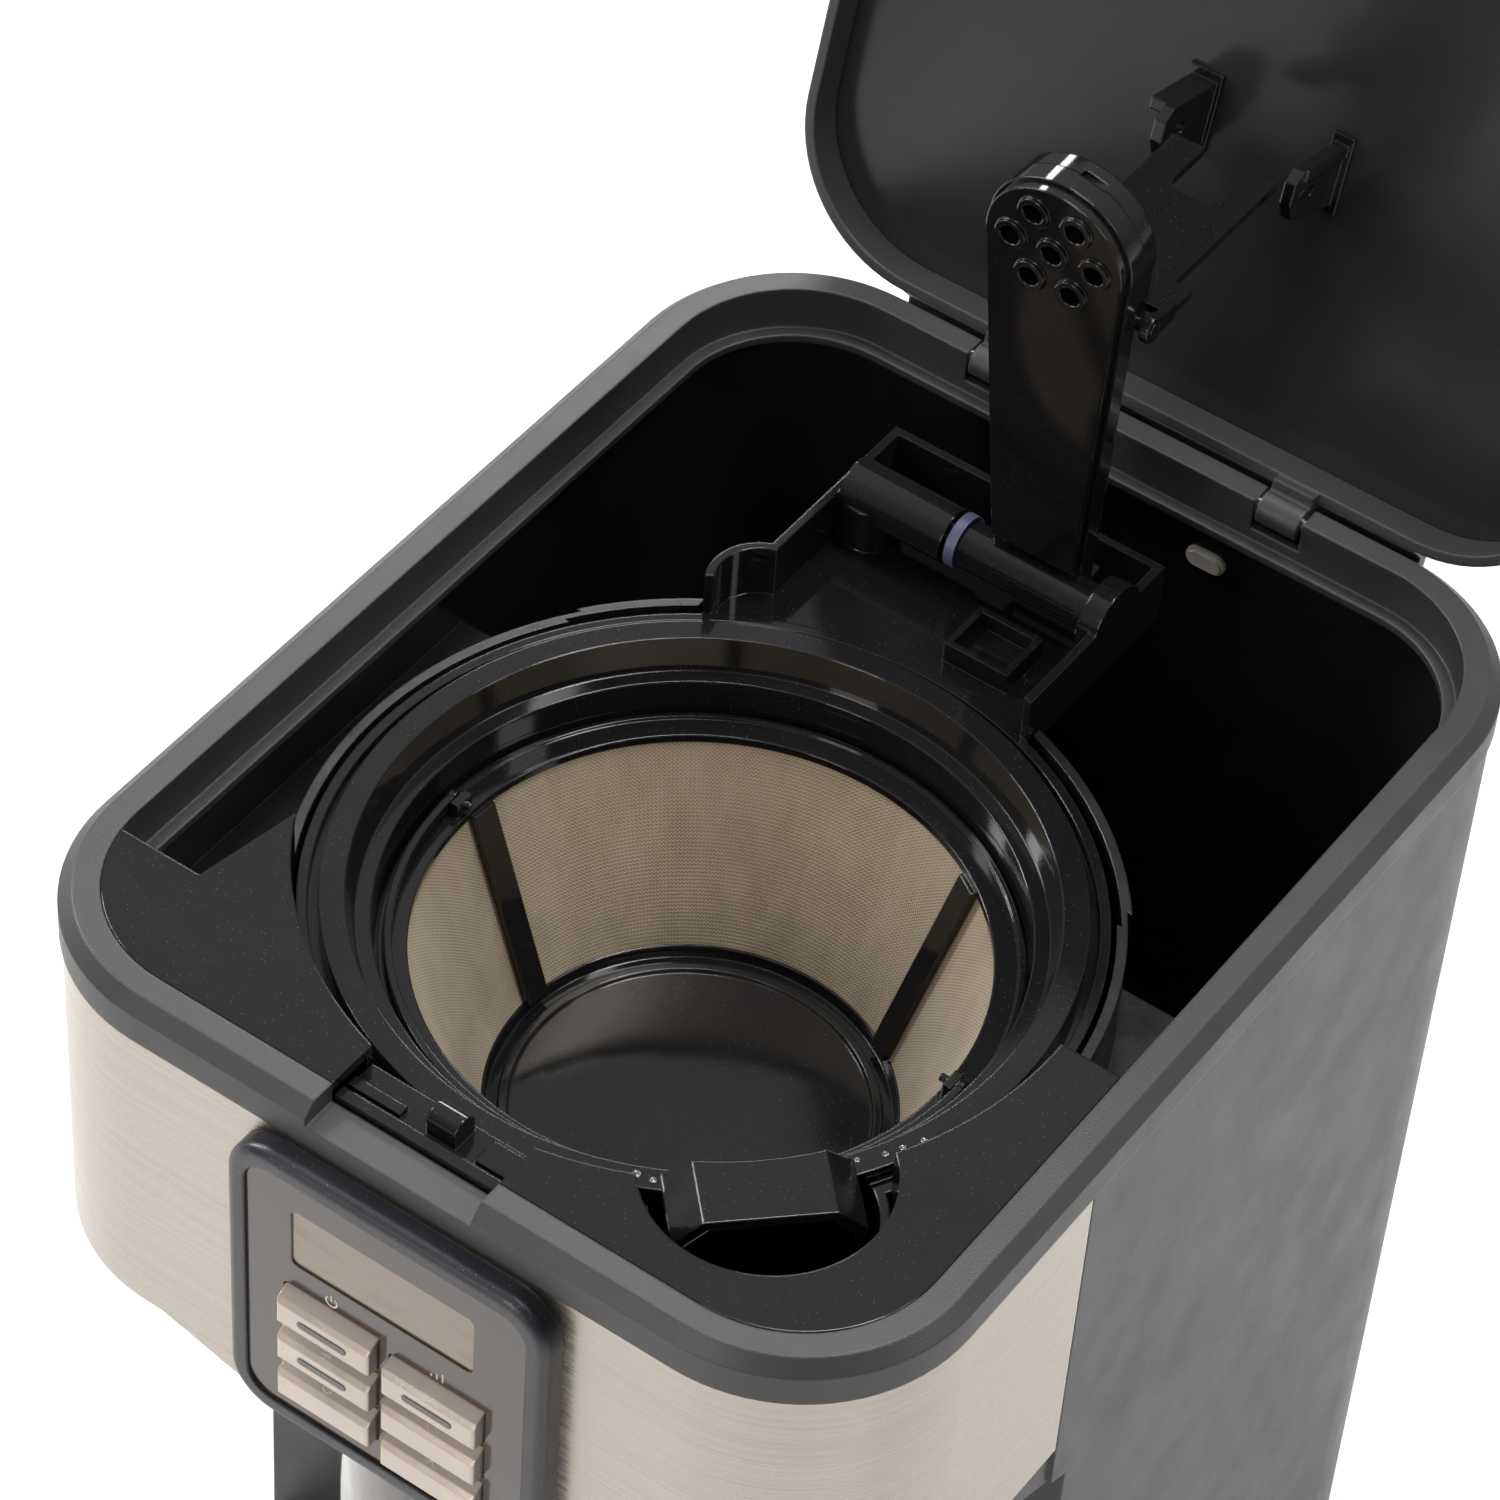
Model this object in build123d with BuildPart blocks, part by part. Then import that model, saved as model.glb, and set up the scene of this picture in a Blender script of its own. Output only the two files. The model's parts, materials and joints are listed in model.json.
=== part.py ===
"""Drip coffee maker with a swing-up spray arm, lift-out brew basket and glass carafe.

Frame: +Z up, the machine faces -Y, the origin is on the table under the middle of the whole
machine with its lid open. The lid and the spray arm stand open, the basket, the filter and the
carafe are seated. All lengths are in millimetres. The pieces are drawn about the middle of the
body's plan and moved forward by ORIGIN_Y when they are written.
"""
from build123d import *
import math
import os

os.makedirs("parts", exist_ok=True)

# ---- driving dimensions -------------------------------------------------------------------
WIDTH = 210
DEPTH = 265
RIM_Z = 340             # top of the rim
CORNER = 40             # plan radius of the body corners
SKIN = 0.6              # how far the walls sit inside the outline of the rim
WALL = 2.6
FRONT = -DEPTH / 2
BACK = DEPTH / 2
ORIGIN_Y = 27.3         # the open lid reaches back, so the origin lies behind the plan's middle

BASE_BOTTOM = 5
BASE_TOP = 44
WALL_TOP = RIM_Z - 10.5
LEDGE_TOP = RIM_Z - 11
TANK_TOP = RIM_Z - 13
HEAD_FLOOR = 234        # underside of the brew head over the carafe
HEAD_FRONT = 248        # underside of the brew head at the front
COLUMN_Y = -43          # front edges of the column that wraps round the carafe
WRAP_END = -48.5        # where the stainless wrap stops on both sides

BREW_Y = -32            # axis of the basket, the filter, the plate and the carafe
WELL_R = 79.6
FLANGE_R = 77.4

HINGE_Y = 127           # lid hinge
HINGE_Z = RIM_Z - 3
HINGE_X = 37
LID_OPEN = 104
PIVOT_Y = 78.5          # spray arm pivot
PIVOT_Z = RIM_Z - 4
ARM_LEAN = 4            # the raised arm leans this far towards the front
ARM_X = 4.6
HEAD_REACH = 96         # pivot to the middle of the shower head
LINK_REACH = 78
LINK_DEPTH = 8.7

PANEL_X = 1
TRAY_LEFT = -41
TRAY_RIGHT = 24
TRAY_FLOOR = RIM_Z - 15
RISER_X = -36


def finish(part, name):
    """Name a finished piece and write its solids."""
    solids = part.solids()
    piece = solids[0] if len(solids) == 1 else Compound(solids)
    piece = piece.moved(Location((0, -ORIGIN_Y, 0)))
    piece.label = name
    export_step(piece, f"parts/{name}.step")


def outline(inset, mode=Mode.ADD):
    """The plan of the body, drawn in by inset."""
    RectangleRounded(WIDTH - 2 * inset, DEPTH - 2 * inset, CORNER - inset, mode=mode)


def span(x0, x1, y0, y1, mode=Mode.ADD):
    """A rectangle from two opposite corners."""
    with Locations(((x0 + x1) / 2, (y0 + y1) / 2)):
        Rectangle(x1 - x0, y1 - y0, mode=mode)


def block(x0, x1, y0, y1, z0, z1, mode=Mode.ADD):
    """A box from two opposite corners."""
    with Locations(((x0 + x1) / 2, (y0 + y1) / 2, (z0 + z1) / 2)):
        Box(x1 - x0, y1 - y0, z1 - z0, mode=mode)


def post(x, y, r, z0, z1, mode=Mode.ADD):
    """A vertical cylinder."""
    with Locations((x, y, (z0 + z1) / 2)):
        Cylinder(r, z1 - z0, mode=mode)


def rod(x0, x1, y, z, r, mode=Mode.ADD):
    """A cylinder along X."""
    with Locations(Location(((x0 + x1) / 2, y, z), (0, 90, 0))):
        Cylinder(r, x1 - x0, mode=mode)


def turned(*points, mode=Mode.ADD):
    """A closed half section of (radius, height) points, turned about the brew axis."""
    with BuildSketch(Plane.XZ.offset(-BREW_Y)) as section:
        with BuildLine():
            Polyline(*points, close=True)
        make_face()
    revolve(section.sketch, axis=Axis((0, BREW_Y, 0), (0, 0, 1)), mode=mode)


# ---- feet, base and heater ----------------------------------------------------------------
FEET = [(-80, -104), (80, -104), (-80, 104), (80, 104)]
SCREWS = [(-92, -55), (92, -55), (-92, 55), (92, 55), (-38, 118), (38, 118)]

with BuildPart() as feet:
    for x, y in FEET:
        post(x, y, 11, 0, BASE_BOTTOM)
    fillet(feet.edges().filter_by(GeomType.CIRCLE).group_by(Axis.Z)[0], 1.2)
    for x, y in FEET:
        post(x, y, 5, BASE_BOTTOM, BASE_BOTTOM + 4)
finish(feet.part, "feet")

with BuildPart() as bottom_cover:
    with BuildSketch(Plane.XY.offset(BASE_BOTTOM)):
        outline(SKIN + WALL + 0.3)
        with Locations(*FEET):
            Circle(5, mode=Mode.SUBTRACT)
        with Locations(*SCREWS):
            Circle(1.6, mode=Mode.SUBTRACT)
        with GridLocations(9, 0, 9, 1):
            with Locations((0, -30)):
                SlotOverall(50, 3.4, rotation=90, mode=Mode.SUBTRACT)
    extrude(amount=3)
    for x in (18, 72):
        for y in (72, 104):
            post(x, y, 3, 8, 13)
finish(bottom_cover.part, "bottom_cover")

with BuildPart() as base_screws:
    for x, y in SCREWS:
        post(x, y, 3.2, BASE_BOTTOM - 1.8, BASE_BOTTOM)
        post(x, y, 1.6, BASE_BOTTOM, 20)
finish(base_screws.part, "base_screws")

with BuildPart() as base_housing:
    with BuildSketch(Plane.XY.offset(BASE_BOTTOM)):
        outline(SKIN)
    extrude(amount=BASE_TOP - BASE_BOTTOM)
    chamfer(base_housing.faces().sort_by(Axis.Z)[0].edges(), 1.5)
    with BuildSketch(Plane.XY.offset(BASE_BOTTOM)):
        outline(SKIN + WALL)
    extrude(amount=BASE_TOP - BASE_BOTTOM - WALL, mode=Mode.SUBTRACT)
    for x, y in SCREWS:
        post(x, y, 4, 8, BASE_TOP - WALL)
        post(x, y, 1.6, 8, 26, mode=Mode.SUBTRACT)
    with BuildSketch(Plane.XY.offset(BASE_TOP - WALL)):
        with Locations((0, BREW_Y)):
            Circle(62.6)
        span(-70, 70, 62, 112)
    extrude(amount=WALL, mode=Mode.SUBTRACT)
    with Locations(Location((64, BACK - SKIN - WALL / 2, 24), (90, 0, 0))):
        Cylinder(7, WALL + 1, mode=Mode.SUBTRACT)
finish(base_housing.part, "base_housing")

with BuildPart() as cord_gland:
    with Locations(Location((64, BACK - SKIN - WALL - 1, 24), (90, 0, 0))):
        Cylinder(7, 8)
    with Locations(Location((64, BACK - SKIN + 1, 24), (90, 0, 0))):
        Cylinder(9, 2)
    with Locations(Location((64, BACK, 24), (90, 0, 0))):
        Cylinder(3.5, 30, mode=Mode.SUBTRACT)
finish(cord_gland.part, "cord_gland")

with BuildPart() as warming_plate:
    turned((0, 43.4), (60.4, 43.4), (60.4, 39), (61.8, 39), (61.8, 45.4), (0, 45.4))
    fillet(warming_plate.edges().filter_by(GeomType.CIRCLE).group_by(Axis.Z)[-1], 1)
finish(warming_plate.part, "warming_plate")

with BuildPart() as plate_gasket:
    turned((61.8, 41), (62.6, 41), (62.6, 44), (66.5, 44), (66, 45), (61.8, 45))
finish(plate_gasket.part, "plate_gasket")

HEATER_Z = 34.2
with BuildPart() as heater_tube:
    with BuildLine() as heater_path:
        Line((RISER_X, 30, HEATER_Z), (RISER_X, BREW_Y, HEATER_Z))
        ThreePointArc((RISER_X, BREW_Y, HEATER_Z), (0, BREW_Y + RISER_X, HEATER_Z), (-RISER_X, BREW_Y, HEATER_Z))
        Line((-RISER_X, BREW_Y, HEATER_Z), (-RISER_X, 30, HEATER_Z))
    with BuildSketch(Plane((RISER_X, 30, HEATER_Z), z_dir=(0, -1, 0))):
        Circle(4.5)
        Circle(3.2, mode=Mode.SUBTRACT)
    sweep()
finish(heater_tube.part, "heater_tube")

# cast pad that carries the heat from the tube to the plate
with BuildPart() as heater_pad:
    with BuildSketch(Plane.XY.offset(HEATER_Z + 4.5)):
        with Locations((0, BREW_Y)):
            Circle(-RISER_X + 4)
            Circle(-RISER_X - 4, mode=Mode.SUBTRACT)
        span(-60, 60, BREW_Y, 60, mode=Mode.SUBTRACT)
        span(RISER_X - 4, RISER_X + 4, BREW_Y, 8)
        span(-RISER_X - 4, -RISER_X + 4, BREW_Y, 8)
    extrude(amount=43.4 - HEATER_Z - 4.5)
finish(heater_pad.part, "heater_pad")

with BuildPart() as thermostat:
    post(0, BREW_Y + RISER_X, 8, 23.5, HEATER_Z - 4.5)
    block(-11, 11, BREW_Y + RISER_X - 4, BREW_Y + RISER_X + 4, 22.5, 23.5)
    block(-10, -8.8, -70, -66, 16, 22.5)
    block(8.8, 10, -70, -66, 16, 22.5)
finish(thermostat.part, "thermostat")

with BuildPart() as power_board:
    block(14, 76, 68, 108, 13, 14.6)
    block(22, 38, 76, 96, 14.6, 30)
    block(46, 58, 74, 86, 14.6, 26)
    for y in (90, 96, 102):
        block(44, 68, y - 2, y + 2, 14.6, 22)
finish(power_board.part, "power_board")

# ---- body walls ---------------------------------------------------------------------------
APRON_HALF = 34

# the space inside the head, over its floor
with BuildPart() as head_room:
    with BuildSketch(Plane.XY.offset(HEAD_FLOOR)):
        outline(SKIN + 1 + WALL)
    extrude(amount=WALL_TOP - HEAD_FLOOR + 1)
    with BuildSketch(Plane.YZ):
        with BuildLine():
            Polyline((-140, HEAD_FRONT + 3), (-77, HEAD_FRONT + 3), (COLUMN_Y + 1, HEAD_FLOOR + 3),
                     (140, HEAD_FLOOR + 3), (140, WALL_TOP + 1), (-140, WALL_TOP + 1), close=True)
        make_face()
    extrude(amount=WIDTH, both=True, mode=Mode.INTERSECT)

with BuildPart() as rear_housing:
    with BuildSketch(Plane.XY.offset(BASE_TOP)):
        outline(SKIN)
        span(-WIDTH, WIDTH, -DEPTH, COLUMN_Y, mode=Mode.SUBTRACT)
        with Locations((0, BREW_Y)):
            Circle(80, mode=Mode.SUBTRACT)
    extrude(amount=HEAD_FLOOR - BASE_TOP)
    with BuildSketch(Plane.XY.offset(HEAD_FLOOR)):
        outline(SKIN)
    extrude(amount=WALL_TOP - HEAD_FLOOR)
    # the skin steps in behind the stainless wrap
    with BuildSketch(Plane.XY.offset(HEAD_FLOOR)):
        span(-WIDTH, WIDTH, -DEPTH, WRAP_END)
        outline(SKIN + 1, Mode.SUBTRACT)
    extrude(amount=WALL_TOP - HEAD_FLOOR, mode=Mode.SUBTRACT)
    # the underside rises from the column towards the front
    with BuildSketch(Plane.YZ):
        with BuildLine():
            Polyline((-78, HEAD_FRONT), (COLUMN_Y, HEAD_FLOOR), (COLUMN_Y, 200), (-140, 200),
                     (-140, HEAD_FRONT), close=True)
        make_face()
    extrude(amount=WIDTH, both=True, mode=Mode.SUBTRACT)
    add(head_room.part, mode=Mode.SUBTRACT)
    # inside of the column
    with BuildSketch(Plane.XY.offset(BASE_TOP)):
        outline(SKIN + WALL)
        span(-WIDTH, WIDTH, -DEPTH, COLUMN_Y + WALL, mode=Mode.SUBTRACT)
        with Locations((0, BREW_Y)):
            Circle(80 + WALL, mode=Mode.SUBTRACT)
    extrude(amount=HEAD_FLOOR + 3 - BASE_TOP, mode=Mode.SUBTRACT)
    # way out for the basket spout
    with Locations((0, BREW_Y, HEAD_FLOOR)):
        Cylinder(20, 20, mode=Mode.SUBTRACT)
    # lowered apron behind the foot of the control panel
    block(-APRON_HALF, APRON_HALF, FRONT + SKIN + 1, FRONT + SKIN + 1 + WALL, 241, HEAD_FRONT + 1)
    # window for the control panel
    block(PANEL_X - 33, PANEL_X + 33, FRONT - 5, FRONT + 10, 251.5, 321.7, mode=Mode.SUBTRACT)
finish(rear_housing.part, "rear_housing")

with BuildPart() as stainless_wrap:
    with BuildSketch(Plane.XY.offset(230)):
        outline(SKIN)
        outline(SKIN + 0.8, Mode.SUBTRACT)
        span(-WIDTH, WIDTH, WRAP_END - 0.4, DEPTH, mode=Mode.SUBTRACT)
    extrude(amount=WALL_TOP - 230)
    # lower edge seen from the side: it drops towards the column
    with BuildSketch(Plane.YZ):
        with BuildLine():
            Polyline((-78, HEAD_FRONT), (WRAP_END, 236.3), (WRAP_END, 200), (-120, 200), (-120, HEAD_FRONT),
                     close=True)
        make_face()
    extrude(amount=WIDTH, both=True, mode=Mode.SUBTRACT)
    # lower edge seen from the front: it drops into the apron
    for side in (-1, 1):
        with BuildSketch(Plane.XZ):
            with BuildLine():
                Polyline((side * APRON_HALF, 241), (side * (APRON_HALF + 26), HEAD_FRONT), (side * 120, HEAD_FRONT),
                         (side * 120, 200), (side * APRON_HALF, 200), close=True)
            make_face()
        extrude(amount=DEPTH / 2 + 5, mode=Mode.SUBTRACT)
    block(-APRON_HALF - 1, APRON_HALF + 1, FRONT - 5, FRONT + 15, 200, 241, mode=Mode.SUBTRACT)
    block(PANEL_X - 33, PANEL_X + 33, FRONT - 5, FRONT + 10, 251.5, 321.7, mode=Mode.SUBTRACT)
finish(stainless_wrap.part, "stainless_wrap")

# ---- rim ----------------------------------------------------------------------------------
NOTCH = (-22, 18)       # latch notch in the front of the rim

with BuildPart() as top_rim:
    with BuildSketch(Plane.XY.offset(WALL_TOP)):
        outline(0)
    extrude(amount=RIM_Z - WALL_TOP)
    chamfer(top_rim.faces().sort_by(Axis.Z)[-1].edges(), 3)
    with BuildSketch(Plane.XY.offset(WALL_TOP)):
        outline(8.5)
    extrude(amount=RIM_Z - WALL_TOP, mode=Mode.SUBTRACT)
    with BuildSketch(Plane.XY.offset(WALL_TOP)):
        outline(2.2)
        outline(6.4, Mode.SUBTRACT)
    extrude(amount=3.8, mode=Mode.SUBTRACT)
    # ledge inside the rim
    with BuildSketch(Plane.XY.offset(TANK_TOP)):
        outline(4.4)
        outline(11.5, Mode.SUBTRACT)
    extrude(amount=LEDGE_TOP - TANK_TOP)
    with BuildSketch(Plane.XY.offset(LEDGE_TOP)):
        outline(6.4)
        outline(8.5, Mode.SUBTRACT)
    extrude(amount=WALL_TOP - LEDGE_TOP)
    # latch notch and hinge cut-outs
    block(NOTCH[0], NOTCH[1], FRONT - 1, FRONT + 12, RIM_Z - 5, RIM_Z + 1, mode=Mode.SUBTRACT)
    for side in (-1, 1):
        block(side * HINGE_X - 6, side * HINGE_X + 6, HINGE_Y - 7, BACK + 1, RIM_Z - 8, RIM_Z + 1,
              mode=Mode.SUBTRACT)
        block(side * HINGE_X - 10, side * HINGE_X - 6, HINGE_Y - 3, HINGE_Y + 3, RIM_Z - 8, RIM_Z - 0.5)
        block(side * HINGE_X + 6, side * HINGE_X + 10, HINGE_Y - 3, HINGE_Y + 3, RIM_Z - 8, RIM_Z - 0.5)
        rod(side * HINGE_X - 10, side * HINGE_X + 10, HINGE_Y, HINGE_Z, 1.8, mode=Mode.SUBTRACT)
finish(top_rim.part, "top_rim")

with BuildPart() as hinge_pins:
    for side in (-1, 1):
        rod(side * HINGE_X - 9.6, side * HINGE_X + 9.6, HINGE_Y, HINGE_Z, 1.8)
finish(hinge_pins.part, "hinge_pins")

# ---- water tank ---------------------------------------------------------------------------
SHELF_Z = RIM_Z - 33
SHELF_BACK = 14.5
SHELF_FRONT = -96
TANK_BOTTOM = 62
OUTLET = (36, PIVOT_Y)

with BuildPart() as reservoir:
    with BuildSketch(Plane.XY.offset(TANK_BOTTOM)):
        outline(4.5)
        span(-WIDTH, WIDTH, -DEPTH, SHELF_BACK, mode=Mode.SUBTRACT)
        with Locations((0, BREW_Y)):
            Circle(84, mode=Mode.SUBTRACT)
    extrude(amount=TANK_TOP - TANK_BOTTOM)
    with BuildSketch(Plane.XY.offset(SHELF_Z - 2.2)):
        outline(4.5)
        span(-WIDTH, WIDTH, -DEPTH, SHELF_FRONT, mode=Mode.SUBTRACT)
        span(-WIDTH, WIDTH, SHELF_BACK, DEPTH, mode=Mode.SUBTRACT)
        with Locations((0, BREW_Y)):
            Circle(83, mode=Mode.SUBTRACT)
        span(0, WIDTH, -DEPTH, -60, mode=Mode.SUBTRACT)
    extrude(amount=TANK_TOP - SHELF_Z + 2.2)
    with BuildSketch(Plane.XY.offset(TANK_BOTTOM + 2.2)):
        outline(6.7)
        span(-WIDTH, WIDTH, -DEPTH, SHELF_BACK + 2.2, mode=Mode.SUBTRACT)
        with Locations((0, BREW_Y)):
            Circle(86.2, mode=Mode.SUBTRACT)
    extrude(amount=TANK_TOP - TANK_BOTTOM, mode=Mode.SUBTRACT)
    with BuildSketch(Plane.XY.offset(SHELF_Z)):
        outline(6.7)
        span(-WIDTH, WIDTH, -DEPTH, SHELF_FRONT + 2.2, mode=Mode.SUBTRACT)
        span(-WIDTH, WIDTH, SHELF_BACK + 4, DEPTH, mode=Mode.SUBTRACT)
        with Locations((0, BREW_Y)):
            Circle(85.2, mode=Mode.SUBTRACT)
        span(0, WIDTH, -DEPTH, -57.8, mode=Mode.SUBTRACT)
    extrude(amount=TANK_TOP - SHELF_Z, mode=Mode.SUBTRACT)
    # seat for the bridge tray, outlet, standpipe hole and overflow hole
    block(TRAY_LEFT - 9.3, TRAY_RIGHT + 2.3, 20, 97.3, TRAY_FLOOR - 2.3, RIM_Z, mode=Mode.SUBTRACT)
    post(OUTLET[0], OUTLET[1], 6.5, TANK_BOTTOM - 6, TANK_BOTTOM)
    post(OUTLET[0], OUTLET[1], 4.5, TANK_BOTTOM - 7, TANK_BOTTOM + 3, mode=Mode.SUBTRACT)
    post(RISER_X, PIVOT_Y, 7, TANK_BOTTOM - 0.5, TANK_BOTTOM + 3, mode=Mode.SUBTRACT)
    with BuildSketch(Plane.XZ.offset(-BACK)):
        with Locations((21, RIM_Z - 25)):
            SlotOverall(10, 5.5)
    extrude(amount=12, mode=Mode.SUBTRACT)
finish(reservoir.part, "reservoir")

with BuildPart() as riser_grommet:
    post(RISER_X, PIVOT_Y, 7, TANK_BOTTOM - 0.5, TANK_BOTTOM + 2.2)
    post(RISER_X, PIVOT_Y, 8.5, TANK_BOTTOM + 2.2, TANK_BOTTOM + 4)
    post(RISER_X, PIVOT_Y, 4.5, TANK_BOTTOM - 2, TANK_BOTTOM + 6, mode=Mode.SUBTRACT)
finish(riser_grommet.part, "riser_grommet")

with BuildPart() as riser_tube:
    post(RISER_X, PIVOT_Y, 4.5, 52, TRAY_FLOOR - 4)
    post(RISER_X, PIVOT_Y, 3.2, 50, TRAY_FLOOR, mode=Mode.SUBTRACT)
finish(riser_tube.part, "riser_tube")


def hose(x):
    """A silicone hose from an end of the heater tube to a pipe above it."""
    with BuildLine() as path:
        FilletPolyline((x, 22, HEATER_Z), (x, PIVOT_Y, HEATER_Z), (x, PIVOT_Y, 60), radius=14)
    with BuildSketch(Plane((x, 22, HEATER_Z), z_dir=(0, 1, 0))) as ring:
        Circle(6.3)
        Circle(4.5, mode=Mode.SUBTRACT)
    sweep(ring.sketch, path=path.line)


with BuildPart() as hot_hose:
    hose(RISER_X)
finish(hot_hose.part, "hot_hose")

with BuildPart() as cold_hose:
    hose(-RISER_X)
    post(OUTLET[0], OUTLET[1], 8, 55.5, 62, mode=Mode.SUBTRACT)
finish(cold_hose.part, "cold_hose")

with BuildPart() as check_valve:
    post(OUTLET[0], OUTLET[1], 4.5, 50, TANK_BOTTOM + 2)
    post(OUTLET[0], OUTLET[1], 3.3, 49, TANK_BOTTOM + 4, mode=Mode.SUBTRACT)
finish(check_valve.part, "check_valve")

with BuildPart() as check_ball:
    with Locations((OUTLET[0], OUTLET[1], 58)):
        Sphere(3.2)
finish(check_ball.part, "check_ball")

with BuildPart() as hose_clamps:
    for x in (RISER_X, -RISER_X):
        with Locations(Location((x, 27, HEATER_Z), (90, 0, 0))):
            Cylinder(7, 5)
            Cylinder(6.3, 7, mode=Mode.SUBTRACT)
        block(x - 2, x + 2, 24.5, 29.5, HEATER_Z - 9.5, HEATER_Z - 6.6)
finish(hose_clamps.part, "hose_clamps")

# ---- front deck, basket well and bridge tray ------------------------------------------------
POCKET_ANGLE = -46
POCKET_X = 81 * math.cos(math.radians(POCKET_ANGLE))
POCKET_Y = BREW_Y + 81 * math.sin(math.radians(POCKET_ANGLE))
POCKET_R = 22.2
DECK_R = 82.7

with BuildPart() as front_deck:
    with BuildSketch(Plane.XY.offset(RIM_Z - 2.4)):
        outline(8.7)
        span(-WIDTH, WIDTH, -29, DEPTH, mode=Mode.SUBTRACT)
        with Locations((0, BREW_Y)):
            Circle(DECK_R, mode=Mode.SUBTRACT)
        with Locations((POCKET_X, POCKET_Y)):
            Circle(POCKET_R + 2.8, mode=Mode.SUBTRACT)
        # the left side stays open for filling
        with BuildLine():
            Polyline((-60, -50), (-71, -69.8), (-76, -98), (-120, -98), (-120, 0), (-60, 0), close=True)
        make_face(mode=Mode.SUBTRACT)
        span(NOTCH[0], NOTCH[1], -DEPTH, FRONT + 21, mode=Mode.SUBTRACT)
    extrude(amount=2.4)
    # skirt under the opening edge, down to the well
    with BuildSketch(Plane.XY.offset(RIM_Z - 12)):
        with Locations((0, BREW_Y)):
            Circle(DECK_R + 1.5)
        with Locations((POCKET_X, POCKET_Y)):
            Circle(POCKET_R + 4.3)
        with Locations((0, BREW_Y)):
            Circle(DECK_R, mode=Mode.SUBTRACT)
        with Locations((POCKET_X, POCKET_Y)):
            Circle(POCKET_R + 2.8, mode=Mode.SUBTRACT)
        span(-WIDTH, WIDTH, -62, DEPTH, mode=Mode.SUBTRACT)
        span(-WIDTH, -71, -DEPTH, DEPTH, mode=Mode.SUBTRACT)
    extrude(amount=9.6)
    block(NOTCH[0], NOTCH[1], FRONT + 5, FRONT + 21, RIM_Z - 8.2, RIM_Z, mode=Mode.SUBTRACT)
finish(front_deck.part, "front_deck")

with BuildPart() as latch_seat:
    block(-3, 4, FRONT + 13.2, FRONT + 19.4, RIM_Z - 7, RIM_Z + 0.8)
    fillet(latch_seat.edges().filter_by(Axis.X).group_by(Axis.Z)[-1], 2.9)
    block(NOTCH[0] + 0.3, NOTCH[1] - 0.3, FRONT + 8.8, FRONT + 20.5, RIM_Z - 8, RIM_Z - 5)
    block(NOTCH[0] + 0.3, NOTCH[1] - 0.3, FRONT + 8.8, FRONT + 11.6, RIM_Z - 8, RIM_Z - 3.4)
    block(NOTCH[0] + 0.3, -9, FRONT + 12.8, FRONT + 15.4, RIM_Z - 8, RIM_Z - 3.8)
    block(9, NOTCH[1] - 0.3, FRONT + 12.8, FRONT + 19, RIM_Z - 8, RIM_Z - 3.8)
finish(latch_seat.part, "latch_seat")

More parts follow.
